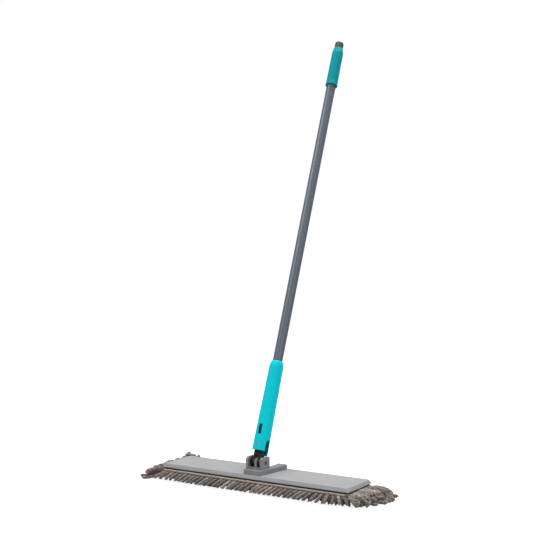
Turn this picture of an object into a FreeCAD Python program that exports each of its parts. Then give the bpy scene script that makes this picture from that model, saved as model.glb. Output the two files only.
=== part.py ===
"""Flat floor mop: a rigid plate with a two-way joint, a leaning handle and a fringed pad held by touch tape.

Frame: +X along the plate, +Y towards the back, +Z up. The origin is on the floor, under the centre of the pad.
The handle leans back by `lean` about the tilt pin. Its parts are modelled upright on the tilt pin and then leaned.
Millimetres throughout.
"""
import FreeCAD, Part
import math
import os

Vector = FreeCAD.Vector
X_AXIS = Vector(1, 0, 0)
Y_AXIS = Vector(0, 1, 0)
Z_AXIS = Vector(0, 0, 1)

# ---------------------------------------------------------------- overall sizes
plate_length = 545.0
plate_width = 120.0
handle_length = 1187.0          # from the tilt pin to the top of the end cap
lean = 21.0                     # degrees that the handle leans back at rest

# ---------------------------------------------------------------- clearances
running = 0.05                  # radial clearance of a pin that turns in its hole
side_gap = 0.2                  # between faces that slide past each other
soft_gap = 0.3                  # between cloth and whatever it lies beside
cut_spare = 1.0                 # how far a cutting body reaches past the face that it cuts

# ---------------------------------------------------------------- pad
pile_height = 22.0
backing_thickness = 2.0
binding_height = 7.0
binding_wrap = 1.0              # how far the binding folds below the backing's top
binding_width = 6.0
binding_stand_out = 3.0         # how far the binding reaches past the plate's rim
fringe_side = 20.0              # fringe beyond the binding along the long sides
fringe_end = 78.0               # fringe beyond the binding at the two ends
fringe_height = 24.0
tape_thickness = 1.5            # each half of the touch tape
tape_width = 28.0
tape_offset = 26.0              # centre of each tape from the plate's middle
tape_end_margin = 30.0          # from the pan's end to the tape's end
pad_corner_radius = 14.0

# ---------------------------------------------------------------- plate
wall = 2.5                      # moulded wall of the cover and the pan
bevel_run = 4.0
bevel_drop = 7.5
rim_lip = 1.5                   # upright band under the bevel
plate_corner_radius = 6.0
pan_inset = 11.0                # from the cover's rim in to the pan
pan_height = 12.0
rib_thickness = 1.8
cross_ribs = 9
pan_screw_columns = (-0.42, 0.0, 0.42)   # as shares of the plate's length, two screws in each
pan_screw_offset = 7.5          # from the middle line
pan_screw_radius = 1.4
pan_screw_head_radius = 2.8
pan_screw_head_height = 1.2
pan_screw_boss_radius = 3.5
pan_screw_tip_gap = 1.0         # from the screw's tip to the underside of the cover's top

# ---------------------------------------------------------------- joint base
base_front_half_width = 25.5
base_back_half_width = 41.0
base_height = 12.0
base_edge_gap = 4.0             # from the base's ends to the edge of the plate's flat top
base_corner_radius = 5.0
base_edge_radius = 2.0
rail_inner = 15.0               # half width of the channel between the two rails
saddle_height = 4.0             # step under the cheeks, above the base
washer_saddle_gap = 0.5         # under the friction washers
cheek_inner = 17.0
cheek_outer = 23.5
cheek_half_depth = 18.0
cheek_setback = 9.0             # from the base's front end to the cheeks
cheek_top = 14.0                # above the tilt pin
cheek_corner_radius = 7.0
lug_half_width = 3.4
lug_radius = 11.0
washer_radius = 10.5
pin_radius = 3.0
pin_cap_radius = 5.0
pin_cap_depth = 2.0
base_screw_radius = 2.0
base_screw_head_radius = 4.0
base_screw_head_height = 1.6
base_screw_bite = 9.0           # thread length inside the joint base
base_screw_hole_spare = 0.5     # depth of the hole past the screw's end
base_screw_front_x = 15.0
base_screw_back_x = 26.0
base_screw_inset = 11.0         # from the base's front and back ends

# ---------------------------------------------------------------- knuckle
knuckle_half_depth = 8.0
arm_inner = 3.8
arm_outer = 12.2
arm_radius = 9.5
swing_height = 42.0             # swing screw above the tilt pin
head_radius = 13.0
neck_half_width = 12.2
arm_gap_height = 22.0           # top of the gap between the two arms, above the tilt pin
knuckle_edge_radius = 1.5
swing_radius = 2.5              # shank of the swing screw
bush_wall = 1.5

# ---------------------------------------------------------------- lower sleeve
sleeve_bottom = 28.0
sleeve_back_bottom = 19.0       # the back lobe reaches lower than the front one
sleeve_top = 258.0
sleeve_bottom_radius = 20.6
sleeve_top_radius = 18.0
sleeve_rim_radius = 15.6
sleeve_rim_height = 13.0
sleeve_wall = 3.0
knuckle_bore_radius = 17.0
cavity_top = 99.0
collar_height = 18.0
seat_height = 4.0               # shoulder that the tube stands on
notch_half_width = 8.6
notch_top = 56.0
boss_radius = 7.0
screw_head_radius = 3.4
screw_head_depth = 1.6
screw_head_sunk = 0.6           # the head lies a little below the sleeve's face
screw_driver_radius = 1.5
screw_driver_floor = 0.5
screw_tip_gap = 1.0             # from the screw's tip to the back of the sleeve
nut_radius = 4.6
nut_height = 4.0
nut_sunk = 0.5
tube_screw_radius = 1.6
tube_screw_head_radius = 3.0
tube_screw_head_height = 1.4
tube_screw_sunk = 0.2
tube_screw_bite = 5.0           # length inside the tube's outer face
tube_stop_width = 2.0           # shoulder under the tube's end
rim_chamfer = 1.0
rim_turn = 3.0

# ---------------------------------------------------------------- lock slider
slot_bottom = 68.0
slot_top = 93.0
slot_half_width = 4.6
slider_length = 14.0
slider_rib_count = 3
slider_rib_height = 0.8
slider_end_gap = 0.5
slider_rib_width = 1.8
slider_sunk = 1.2               # from the sleeve's face to the thumb piece between its ribs
flange_seat_gap = 0.6           # from the sleeve's bore to the flange
flange_drop = 1.5               # the flange sits a little lower than the thumb piece
flange_half_width = 7.5
flange_thickness = 2.0
tongue_half_width = 6.0
tongue_back = 4.0
tongue_lip = 3.0                # how far the tongue's rim reaches round the knuckle's head
tongue_end_gap = 0.25           # between the brake tongue and the knuckle's round head when locked

# ---------------------------------------------------------------- tube, grip and cap
tube_radius = 12.5
tube_wall = 0.8
plug_length = 22.0
plug_wall = 4.0
grip_length = 116.0
grip_radius = 15.6
grip_foot_radius = 16.6
grip_foot_height = 14.0
grip_shoulder_height = 13.0
grip_top_radius = 12.8
grip_foot_lip = 1.6             # width of the flat rim at the grip's open end
grip_foot_recess = 6.0          # depth of the hollow behind that rim
grip_foot_band = 3.0
grip_waist = 0.3                # the barrel narrows by this much above the foot
grip_shoulder_turn = 0.8
grip_top_chamfer = 0.5
cap_height = 21.0
cap_radius = 12.0
cap_dome_height = 6.0
cap_stem_length = 25.0
cap_flange = 1.0                # the cap's rim that covers the tube's end

# ---------------------------------------------------------------- places that follow from the sizes above
backing_top = pile_height + backing_thickness
tape_split = backing_top + tape_thickness
hook_bottom = tape_split + soft_gap
pan_bottom = hook_bottom + tape_thickness
plate_top = pan_bottom + pan_height + wall
rim_bottom = plate_top - bevel_drop - rim_lip
binding_bottom = backing_top - binding_wrap
binding_top = binding_bottom + binding_height - binding_wrap
base_half_depth = plate_width / 2 - bevel_run - base_edge_gap
pivot_y = cheek_half_depth + cheek_setback - base_half_depth
pivot_z = plate_top + base_height + saddle_height + washer_radius + washer_saddle_gap
pad_half_length = plate_length / 2 + binding_stand_out
pad_half_width = plate_width / 2 + binding_stand_out
cap_bottom = handle_length - cap_height
screw_seat_depth = screw_head_depth + screw_head_sunk
cut_reach = 1.5 * sleeve_bottom_radius     # past the sleeve's wall, for cuts from outside
grip_bottom = cap_bottom - grip_length
tube_bottom = cavity_top + seat_height
slider_travel = slot_top - slot_bottom - slider_length - 2 * slider_end_gap
slider_top = slot_top - slider_end_gap
slider_bottom = slider_top - slider_length


# ================================================================ small shape helpers
def box(x0, x1, y0, y1, z0, z1):
    return Part.makeBox(x1 - x0, y1 - y0, z1 - z0, Vector(x0, y0, z0))


def rod_z(radius, z0, z1, x=0.0, y=0.0):
    return Part.makeCylinder(radius, z1 - z0, Vector(x, y, z0), Z_AXIS)


def rod_x(radius, x0, x1, y=0.0, z=0.0):
    return Part.makeCylinder(radius, x1 - x0, Vector(x0, y, z), X_AXIS)


def rod_y(radius, y0, y1, x=0.0, z=0.0):
    return Part.makeCylinder(radius, y1 - y0, Vector(x, y0, z), Y_AXIS)


def rounded_outline(half_x, half_y, radius, z):
    """A closed rectangle with round corners, as a wire."""
    corners = ((1, 1, 0), (-1, 1, 90), (-1, -1, 180), (1, -1, 270))
    arcs = []
    for side_x, side_y, start in corners:
        centre = Vector(side_x * (half_x - radius), side_y * (half_y - radius), z)
        points = []
        for turn in (start, start + 45, start + 90):
            angle = math.radians(turn)
            points.append(centre + Vector(radius * math.cos(angle), radius * math.sin(angle), 0))
        arcs.append(Part.Arc(*points).toShape())
    edges = []
    for index, arc in enumerate(arcs):
        edges.append(arc)
        following = arcs[(index + 1) % len(arcs)]
        edges.append(Part.LineSegment(arc.lastVertex().Point, following.firstVertex().Point).toShape())
    return Part.Wire(Part.__sortEdges__(edges))


def rounded_slab(half_x, half_y, radius, z0, z1):
    face = Part.Face(rounded_outline(half_x, half_y, radius, z0))
    return face.extrude(Vector(0, 0, z1 - z0))


def revolved(points):
    """A body of revolution about Z from (radius, height) points of its half section."""
    outline = [Vector(radius, 0, height) for radius, height in points]
    outline.append(outline[0])
    return Part.Face(Part.makePolygon(outline)).revolve(Vector(0, 0, 0), Z_AXIS, 360)


def leaned(shape):
    """Move a part from the upright frame on the tilt pin to its leaning place."""
    placed = shape.copy()
    placed.rotate(Vector(0, 0, 0), X_AXIS, -lean)
    placed.translate(Vector(0, pivot_y, pivot_z))
    return placed


def save(name, shape):
    if isinstance(shape, (list, tuple)):
        shape = Part.makeCompound(list(shape))
    shape.exportStep(os.path.join("parts", name + ".step"))


# ================================================================ pad
def pile():
    """The yarn tufts under the backing, as one block."""
    inset = binding_width
    return rounded_slab(pad_half_length - inset, pad_half_width - inset, pad_corner_radius - inset,
                        0, pile_height)


def pad_backing():
    inset = binding_width
    return rounded_slab(pad_half_length - inset, pad_half_width - inset, pad_corner_radius - inset,
                        pile_height, backing_top)


def pad_binding():
    """The corded edge that runs round the backing."""
    outer = rounded_slab(pad_half_length, pad_half_width, pad_corner_radius, binding_bottom, binding_top)
    inset = binding_width
    inner = rounded_slab(pad_half_length - inset, pad_half_width - inset, pad_corner_radius - inset,
                         binding_bottom, binding_top)
    return outer.cut(inner)


def fringe_side_block(side):
    """The fringe along one long side, hanging from the binding to the floor."""
    near = side * (pad_half_width - binding_width + soft_gap)
    far = side * (pad_half_width + fringe_side)
    top = binding_bottom - soft_gap
    block = box(-pad_half_length, pad_half_length, min(near, far), max(near, far), 0, top)
    outer_edges = [edge for edge in block.Edges
                   if all(abs(abs(vertex.Point.y) - abs(far)) < 1e-6 and vertex.Point.z > top / 2
                          for vertex in edge.Vertexes)]
    return block.makeFillet(fringe_side / 2, outer_edges)


def fringe_end_block(side):
    """The thicker bunch of yarn at one end, as wide as the pad with its side fringes."""
    near = side * (pad_half_length + soft_gap)
    far = side * (pad_half_length + fringe_end)
    half_width = pad_half_width + fringe_side
    block = box(min(near, far), max(near, far), -half_width, half_width, 0, fringe_height)
    outer_edges = [edge for edge in block.Edges
                   if all(abs(abs(vertex.Point.x) - abs(far)) < 1e-6 for vertex in edge.Vertexes)
                   and abs(edge.Vertexes[0].Point.z - edge.Vertexes[-1].Point.z) > 1.0]
    return block.makeFillet(fringe_side, outer_edges)


def tapes(bottom):
    """Two parallel strips of one half of the touch tape."""
    half_length = plate_length / 2 - pan_inset - tape_end_margin
    strips = []
    for side in (-1, 1):
        middle = side * tape_offset
        strips.append(box(-half_length, half_length, middle - tape_width / 2, middle + tape_width / 2,
                          bottom, bottom + tape_thickness))
    return strips


# ================================================================ plate
def base_screw_places():
    reach = base_half_depth - base_screw_inset
    right_side = ((base_screw_front_x, -reach), (base_screw_back_x, reach))
    return [(side * x, y) for side in (-1, 1) for x, y in right_side]


def pan_screw_places():
    return [(share * plate_length, side * pan_screw_offset) for share in pan_screw_columns for side in (-1, 1)]


def bevelled_block(inset, top):
    """The cover's outer form, or its inside when inset by the wall."""
    half_x = plate_length / 2 - inset
    half_y = plate_width / 2 - inset
    radius = plate_corner_radius - min(inset, plate_corner_radius / 2)
    low = rounded_slab(half_x, half_y, radius, rim_bottom, top - bevel_drop)
    lower_outline = rounded_outline(half_x, half_y, radius, top - bevel_drop)
    upper_outline = rounded_outline(half_x - bevel_run, half_y - bevel_run, radius, top)
    return low.fuse(Part.makeLoft([lower_outline, upper_outline], True, True)).removeSplitter()


def plate_cover():
    shell = bevelled_block(0, plate_top).cut(bevelled_block(wall, plate_top - wall))
    for x, y in base_screw_places():
        shell = shell.cut(rod_z(base_screw_radius + side_gap, rim_bottom, plate_top + cut_spare, x, y))
    for x, y in pan_screw_places():
        shell = shell.fuse(rod_z(pan_screw_boss_radius, pan_bottom + wall, plate_top - wall / 2, x, y))
        shell = shell.cut(rod_z(pan_screw_radius, pan_bottom, plate_top - wall, x, y))
    return shell


def plate_pan():
    """The tray under the cover, with ribs that carry the cover's top."""
    half_x = plate_length / 2 - pan_inset
    half_y = plate_width / 2 - pan_inset
    top = plate_top - wall
    tray = rounded_slab(half_x, half_y, plate_corner_radius, pan_bottom, top)
    hollow = rounded_slab(half_x - wall, half_y - wall, plate_corner_radius - wall, pan_bottom + wall, top)
    ribs = []
    pitch = 2 * half_x / (cross_ribs + 1)
    for index in range(1, cross_ribs + 1):
        x = -half_x + index * pitch
        ribs.append(box(x - rib_thickness / 2, x + rib_thickness / 2, -half_y, half_y, pan_bottom, top))
    for y in (-half_y / 2, half_y / 2):
        ribs.append(box(-half_x, half_x, y - rib_thickness / 2, y + rib_thickness / 2, pan_bottom, top))
    pan = tray.cut(hollow).fuse(ribs)
    for x, y in base_screw_places():
        pan = pan.fuse(rod_z(base_screw_head_radius + wall, pan_bottom, top, x, y))
        pan = pan.cut(rod_z(base_screw_radius + side_gap, pan_bottom, top, x, y))
        pan = pan.cut(rod_z(base_screw_head_radius + side_gap, pan_bottom,
                            pan_bottom + base_screw_head_height, x, y))
    for x, y in pan_screw_places():
        pan = pan.cut(rod_z(pan_screw_boss_radius + side_gap, pan_bottom + wall, top, x, y))
        pan = pan.cut(rod_z(pan_screw_radius + side_gap, pan_bottom, pan_bottom + wall, x, y))
        pan = pan.cut(rod_z(pan_screw_head_radius + side_gap, pan_bottom,
                            pan_bottom + pan_screw_head_height, x, y))
    return pan


def screw(radius, head_radius, head_height, length, x, y, z):
    """A screw that points up, with the underside of its head at z."""
    body = rod_z(head_radius, z, z + head_height, x, y).fuse(rod_z(radius, z + head_height, z + length, x, y))
    recess = rod_z(radius * 0.7, z, z + head_height * 0.6, x, y)
    return body.cut(recess)


def base_screws():
    length = plate_top - pan_bottom + base_screw_bite
    return [screw(base_screw_radius, base_screw_head_radius, base_screw_head_height, length, x, y, pan_bottom)
            for x, y in base_screw_places()]


def pan_screws():
    length = pan_height - pan_screw_tip_gap
    return [screw(pan_screw_radius, pan_screw_head_radius, pan_screw_head_height, length, x, y, pan_bottom)
            for x, y in pan_screw_places()]


# ================================================================ joint base
def cheek(x0, x1):
    """An upright plate with two round corners, from the base to above the tilt pin."""
    foot = plate_top + base_height / 2
    block = box(x0, x1, pivot_y - cheek_half_depth, pivot_y + cheek_half_depth, foot, pivot_z + cheek_top)
    upper = [edge for edge in block.Edges
             if edge.BoundBox.XLength > (x1 - x0) / 2 and edge.BoundBox.ZMin > pivot_z]
    return block.makeFillet(cheek_corner_radius, upper)


def middle_lug():
    """The lug with a round top between the knuckle's two arms."""
    foot = plate_top + base_height / 2
    block = box(-lug_half_width, lug_half_width, pivot_y - lug_radius, pivot_y + lug_radius, foot, pivot_z)
    return block.fuse(rod_x(lug_radius, -lug_half_width, lug_half_width, pivot_y, pivot_z))


def base_block():
    """The raised foot, wider at the back than in front, with its edges eased."""
    top = plate_top + base_height
    outline = [Vector(-base_front_half_width, -base_half_depth, plate_top),
               Vector(base_front_half_width, -base_half_depth, plate_top),
               Vector(base_back_half_width, base_half_depth, plate_top),
               Vector(-base_back_half_width, base_half_depth, plate_top)]
    outline.append(outline[0])
    block = Part.Face(Part.makePolygon(outline)).extrude(Vector(0, 0, base_height))
    upright = [edge for edge in block.Edges if edge.BoundBox.ZLength > base_height / 2]
    block = block.makeFillet(base_corner_radius, upright)
    upper = [edge for edge in block.Edges if edge.BoundBox.ZMin > top - base_edge_radius / 2]
    return block.makeFillet(base_edge_radius, upper)


def joint_base():
    """A raised block with two rails running back, and the three lugs that hold the tilt pin."""
    top = plate_top + base_height
    saddle_back = pivot_y + cheek_half_depth
    channel = box(-rail_inner, rail_inner, saddle_back, base_half_depth + cut_spare,
                  plate_top - cut_spare, top + cut_spare)
    saddle = box(-cheek_outer, cheek_outer, pivot_y - cheek_half_depth, saddle_back,
                 top - base_height / 2, top + saddle_height)
    body = base_block().cut(channel)
    body = body.fuse([saddle, cheek(-cheek_outer, -cheek_inner), cheek(cheek_inner, cheek_outer), middle_lug()])
    body = body.removeSplitter()
    body = body.cut(rod_x(pin_radius + running, -cheek_outer, cheek_outer, pivot_y, pivot_z))
    for side in (-1, 1):
        outer = side * cheek_outer
        inner = side * (cheek_outer - pin_cap_depth)
        body = body.cut(rod_x(pin_cap_radius, min(outer, inner), max(outer, inner), pivot_y, pivot_z))
    for x, y in base_screw_places():
        body = body.cut(rod_z(base_screw_radius, plate_top,
                              plate_top + base_screw_bite + base_screw_hole_spare, x, y))
    return body


def tilt_pin():
    half = cheek_outer - pin_cap_depth
    return rod_x(pin_radius, -half, half, pivot_y, pivot_z)


def pin_caps():
    caps = []
    for side in (-1, 1):
        outer = side * cheek_outer
        inner = side * (cheek_outer - pin_cap_depth)
        caps.append(rod_x(pin_cap_radius - running, min(outer, inner), max(outer, inner), pivot_y, pivot_z))
    return caps


def friction_washers():
    """Rings between the knuckle's arms and the cheeks, which hold the lean by friction."""
    rings = []
    for side in (-1, 1):
        inner = side * (arm_outer + side_gap)
        outer = side * (cheek_inner - side_gap / 2)
        low, high = min(inner, outer), max(inner, outer)
        ring = rod_x(washer_radius, low, high, pivot_y, pivot_z)
        rings.append(ring.cut(rod_x(pin_radius + running, low, high, pivot_y, pivot_z)))
    return rings


# ================================================================ knuckle (upright frame on the tilt pin)
def knuckle():
    """A fork on the tilt pin whose round head takes the swing screw, one flat piece from front to back."""
    depth = knuckle_half_depth
    head = rod_y(head_radius, -depth, depth, 0, swing_height)
    neck = box(-neck_half_width, neck_half_width, -depth, depth, 0, swing_height)
    body = head.fuse(neck).removeSplitter()
    upright = [edge for edge in body.Edges
               if len(edge.Vertexes) == 2 and edge.BoundBox.YLength < 1e-6
               and abs(abs(edge.BoundBox.YMin) - depth) < 1e-6 and edge.BoundBox.ZMin > -1e-6
               and not (edge.BoundBox.ZLength < 1e-6)]
    body = body.makeFillet(knuckle_edge_radius, upright)
    body = body.fuse(rod_x(arm_radius, -arm_outer, arm_outer))
    gap_centre = arm_gap_height - arm_inner
    body = body.cut(box(-arm_inner, arm_inner, -2 * depth, 2 * depth, -2 * arm_radius, gap_centre))
    body = body.cut(rod_y(arm_inner, -depth, depth, 0, gap_centre))
    body = body.cut(rod_x(pin_radius + running, -arm_outer, arm_outer))
    bush_radius = swing_radius + running + bush_wall
    body = body.cut(rod_y(bush_radius, -depth, depth, 0, swing_height))
    return body


def swing_bush():
    depth = knuckle_half_depth
    outer = rod_y(swing_radius + running + bush_wall, -depth, depth, 0, swing_height)
    return outer.cut(rod_y(swing_radius + running, -depth, depth, 0, swing_height))


# ================================================================ lower sleeve (upright frame on the tilt pin)
def sleeve_radius_at(height):
    share = (height - sleeve_bottom) / (sleeve_top - sleeve_rim_height - sleeve_bottom)
    return sleeve_bottom_radius + (sleeve_top_radius - sleeve_bottom_radius) * share


def lower_sleeve():
    """The tapered shell that joins the tube to the knuckle."""
    shoulder = sleeve_top - sleeve_rim_height
    low = sleeve_back_bottom
    tube_bore = tube_radius
    collar_low_top = tube_bottom + collar_height
    collar_high_bottom = sleeve_top - collar_height - sleeve_rim_height
    profile = [
        (knuckle_bore_radius, low),
        (sleeve_radius_at(low), low),
        (sleeve_top_radius, shoulder),
        (sleeve_top_radius - rim_chamfer, shoulder + sleeve_rim_height / 2),
        (sleeve_rim_radius, sleeve_top - rim_turn / 2),
        (sleeve_rim_radius - rim_turn / 2, sleeve_top),
        (tube_bore, sleeve_top),
        (tube_bore, collar_high_bottom),
        (sleeve_radius_at(collar_high_bottom) - sleeve_wall, collar_high_bottom - sleeve_wall),
        (sleeve_radius_at(collar_low_top) - sleeve_wall, collar_low_top + sleeve_wall),
        (tube_bore, collar_low_top),
        (tube_bore, tube_bottom),
        (tube_bore - tube_stop_width, tube_bottom),
        (tube_bore - tube_stop_width, cavity_top),
        (knuckle_bore_radius, cavity_top - seat_height),
    ]
    body = revolved(profile)
    # the front lobe is shorter than the back one
    body = body.cut(box(-cut_reach, cut_reach, -cut_reach, 0, 0, sleeve_bottom))
    # inside bosses that keep the knuckle in the middle
    inner_face = knuckle_half_depth + side_gap
    for side in (-1, 1):
        near = side * inner_face
        far = side * (knuckle_bore_radius + sleeve_wall / 2)
        body = body.fuse(rod_y(boss_radius, min(near, far), max(near, far), 0, swing_height))
    # notches on both sides let the neck pass when the handle swings
    notch_radius = notch_half_width
    notch = box(-cut_reach, cut_reach, -notch_half_width, notch_half_width,
                low - cut_spare, notch_top - notch_radius)
    notch = notch.fuse(rod_x(notch_radius, -cut_reach, cut_reach, 0, notch_top - notch_radius))
    clear_half = boss_radius + cut_spare
    bosses_clear = box(-clear_half, clear_half, -inner_face, inner_face, low - cut_spare, notch_top)
    body = body.cut(notch.cut(rod_z(knuckle_bore_radius, low - cut_spare, notch_top))).cut(bosses_clear)
    # slot for the lock slider
    front_wall = box(-slot_half_width, slot_half_width, -cut_reach, -knuckle_bore_radius + sleeve_wall,
                     slot_bottom, slot_top)
    body = body.cut(front_wall)
    # swing screw: plain hole, head seat in front and nut seat behind
    body = body.cut(rod_y(swing_radius + running, -cut_reach, cut_reach, 0, swing_height))
    face = sleeve_radius_at(swing_height)
    body = body.cut(rod_y(screw_head_radius + side_gap, -cut_reach, -face + screw_seat_depth, 0, swing_height))
    body = body.cut(rod_y(nut_radius + side_gap, face - nut_height, cut_reach, 0, swing_height))
    # screw that pins the tube from behind
    height = tube_bottom + collar_height / 2
    outside = sleeve_radius_at(height)
    body = body.cut(rod_y(tube_screw_radius, 0, cut_reach, 0, height))
    seat = outside - tube_screw_head_height
    body = body.cut(rod_y(tube_screw_head_radius + side_gap, seat, cut_reach, 0, height))
    return body


def swing_screw():
    face = sleeve_radius_at(swing_height)
    head_back = -face + screw_seat_depth
    head = rod_y(screw_head_radius, head_back - screw_head_depth, head_back, 0, swing_height)
    shank = rod_y(swing_radius, head_back, face - screw_tip_gap, 0, swing_height)
    driver_floor = head_back - screw_driver_floor
    driver = rod_y(screw_driver_radius, head_back - screw_head_depth, driver_floor, 0, swing_height)
    return head.fuse(shank).cut(driver)


def swing_nut():
    """A hexagonal nut seated in the back of the sleeve."""
    face = sleeve_radius_at(swing_height)
    corners = []
    for index in range(7):
        angle = math.radians(60 * index)
        corners.append(Vector(nut_radius * math.cos(angle), face - nut_height,
                              swing_height + nut_radius * math.sin(angle)))
    body = Part.Face(Part.makePolygon(corners)).extrude(Vector(0, nut_height - nut_sunk, 0))
    return body.cut(rod_y(swing_radius, 0, cut_reach, 0, swing_height))


def tube_screw():
    height = tube_bottom + collar_height / 2
    outside = sleeve_radius_at(height)
    seat = outside - tube_screw_head_height
    head = rod_y(tube_screw_head_radius, seat, outside - tube_screw_sunk, 0, height)
    shank = rod_y(tube_screw_radius, tube_radius - tube_screw_bite, seat, 0, height)
    return head.fuse(shank)


# ================================================================ lock slider (upright frame on the tilt pin)
def slider_button():
    """The thumb piece in the slot, with grip ribs across its face."""
    half = slot_half_width - side_gap
    face = -sleeve_radius_at(slider_top) + slider_sunk
    back = -knuckle_bore_radius + flange_seat_gap
    body = box(-half, half, face, back, slider_bottom, slider_top)
    pitch = slider_length / (slider_rib_count + 1)
    ribs = []
    for index in range(1, slider_rib_count + 1):
        height = slider_bottom + index * pitch
        ribs.append(box(-half, half, face - slider_rib_height, face,
                        height - slider_rib_width / 2, height + slider_rib_width / 2))
    flange = box(-flange_half_width, flange_half_width, back, back + flange_thickness,
                 slider_bottom - flange_drop, slider_top - flange_drop)
    body = body.fuse(ribs).fuse(flange).removeSplitter()
    bore = rod_z(knuckle_bore_radius - side_gap, slider_bottom - slider_length, slider_top + slider_length)
    stem = box(-half, half, -cut_reach, -knuckle_bore_radius / 2, slider_bottom, slider_top)
    return body.common(bore.fuse(stem))


def brake_tongue():
    """The block behind the thumb piece, whose hollow end meets the knuckle's round head when pushed down."""
    front = -knuckle_bore_radius + flange_seat_gap + flange_thickness
    end = swing_height + head_radius + tongue_end_gap + slider_travel
    block = box(-tongue_half_width, tongue_half_width, front, tongue_back,
                end - tongue_lip, slider_top - tongue_lip)
    reach = head_radius + tongue_end_gap
    return block.cut(rod_y(reach, -cut_reach, cut_reach, 0, swing_height + slider_travel))


# ================================================================ tube, grip and cap (upright frame on the tilt pin)
def pole_tube():
    outer = rod_z(tube_radius, tube_bottom, cap_bottom - cap_flange)
    inner = rod_z(tube_radius - tube_wall, tube_bottom, cap_bottom - cap_flange)
    body = outer.cut(inner)
    height = tube_bottom + collar_height / 2
    return body.cut(rod_y(tube_screw_radius, 0, cut_reach, 0, height))


def tube_plug():
    height = tube_bottom + collar_height / 2
    inside = tube_radius - tube_wall - side_gap / 2
    body = rod_z(inside, tube_bottom, tube_bottom + plug_length)
    body = body.cut(rod_z(inside - plug_wall, tube_bottom, tube_bottom + plug_length))
    return body.cut(rod_y(tube_screw_radius, 0, cut_reach, 0, height))


def hand_grip():
    """A moulded grip with a slightly flared foot and a sloping shoulder under the cap."""
    profile = [
        (tube_radius, grip_bottom + grip_foot_recess),
        (grip_foot_radius - grip_foot_lip, grip_bottom),
        (grip_foot_radius, grip_bottom),
        (grip_foot_radius, grip_bottom + grip_foot_band),
        (grip_radius + grip_waist, grip_bottom + grip_foot_height),
        (grip_radius, grip_bottom + grip_length / 2),
        (grip_radius, cap_bottom - grip_shoulder_height),
        (grip_radius - grip_shoulder_turn, cap_bottom - 0.75 * grip_shoulder_height),
        (grip_top_radius + grip_top_chamfer, cap_bottom - cap_flange),
        (grip_top_radius, cap_bottom),
        (tube_radius, cap_bottom),
    ]
    return revolved(profile)


def end_cap():
    """The domed cap, with a stem that plugs the tube."""
    inside = tube_radius - tube_wall - side_gap / 2
    body = rod_z(cap_radius, cap_bottom, handle_length)
    rim = [edge for edge in body.Edges if abs(edge.BoundBox.ZMin - handle_length) < 1e-6]
    body = body.makeFillet(cap_dome_height, rim)
    stem = rod_z(inside, cap_bottom - cap_stem_length, cap_bottom)
    flange = rod_z(tube_radius, cap_bottom - cap_flange, cap_bottom)
    return body.fuse(stem).fuse(flange).removeSplitter()


# ================================================================ build
def main():
    os.makedirs("parts", exist_ok=True)
    save("pile", pile())
    save("pad_backing", pad_backing())
    save("pad_binding", pad_binding())
    save("loop_tapes", tapes(backing_top))
    save("fringe_front", fringe_side_block(-1))
    save("fringe_back", fringe_side_block(1))
    save("fringe_left", fringe_end_block(-1))
    save("fringe_right", fringe_end_block(1))
    save("hook_tapes", tapes(hook_bottom))
    save("plate_cover", plate_cover())
    save("plate_pan", plate_pan())
    save("pan_screws", pan_screws())
    save("joint_base", joint_base())
    save("base_screws", base_screws())
    save("tilt_pin", tilt_pin())
    save("pin_caps", pin_caps())
    save("friction_washers", friction_washers())
    save("knuckle", leaned(knuckle()))
    save("swing_bush", leaned(swing_bush()))
    save("lower_sleeve", leaned(lower_sleeve()))
    save("swing_screw", leaned(swing_screw()))
    save("swing_nut", leaned(swing_nut()))
    save("tube_screw", leaned(tube_screw()))
    save("slider_button", leaned(slider_button()))
    save("brake_tongue", leaned(brake_tongue()))
    save("pole_tube", leaned(pole_tube()))
    save("tube_plug", leaned(tube_plug()))
    save("hand_grip", leaned(hand_grip()))
    save("end_cap", leaned(end_cap()))


main()
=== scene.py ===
"""Looks of the flat floor mop: plied yarn, corded binding, moulded plastics and a painted tube."""
import math
import random

import bpy
import numpy as np
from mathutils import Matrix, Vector


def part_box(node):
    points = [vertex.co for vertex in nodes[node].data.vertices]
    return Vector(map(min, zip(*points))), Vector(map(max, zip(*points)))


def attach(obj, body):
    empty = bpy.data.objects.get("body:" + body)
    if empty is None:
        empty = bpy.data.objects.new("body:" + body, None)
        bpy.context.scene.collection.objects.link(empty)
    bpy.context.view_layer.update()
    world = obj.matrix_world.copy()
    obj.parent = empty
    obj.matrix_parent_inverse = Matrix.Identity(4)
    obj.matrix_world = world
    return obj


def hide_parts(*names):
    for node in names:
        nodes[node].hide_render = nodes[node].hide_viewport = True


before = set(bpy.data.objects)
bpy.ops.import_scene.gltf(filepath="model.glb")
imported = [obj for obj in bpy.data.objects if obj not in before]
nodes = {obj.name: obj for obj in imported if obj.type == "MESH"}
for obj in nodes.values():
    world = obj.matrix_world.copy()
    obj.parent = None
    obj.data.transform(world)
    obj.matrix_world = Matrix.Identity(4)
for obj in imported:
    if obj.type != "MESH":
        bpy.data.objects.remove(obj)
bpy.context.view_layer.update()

MM = 0.001

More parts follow.
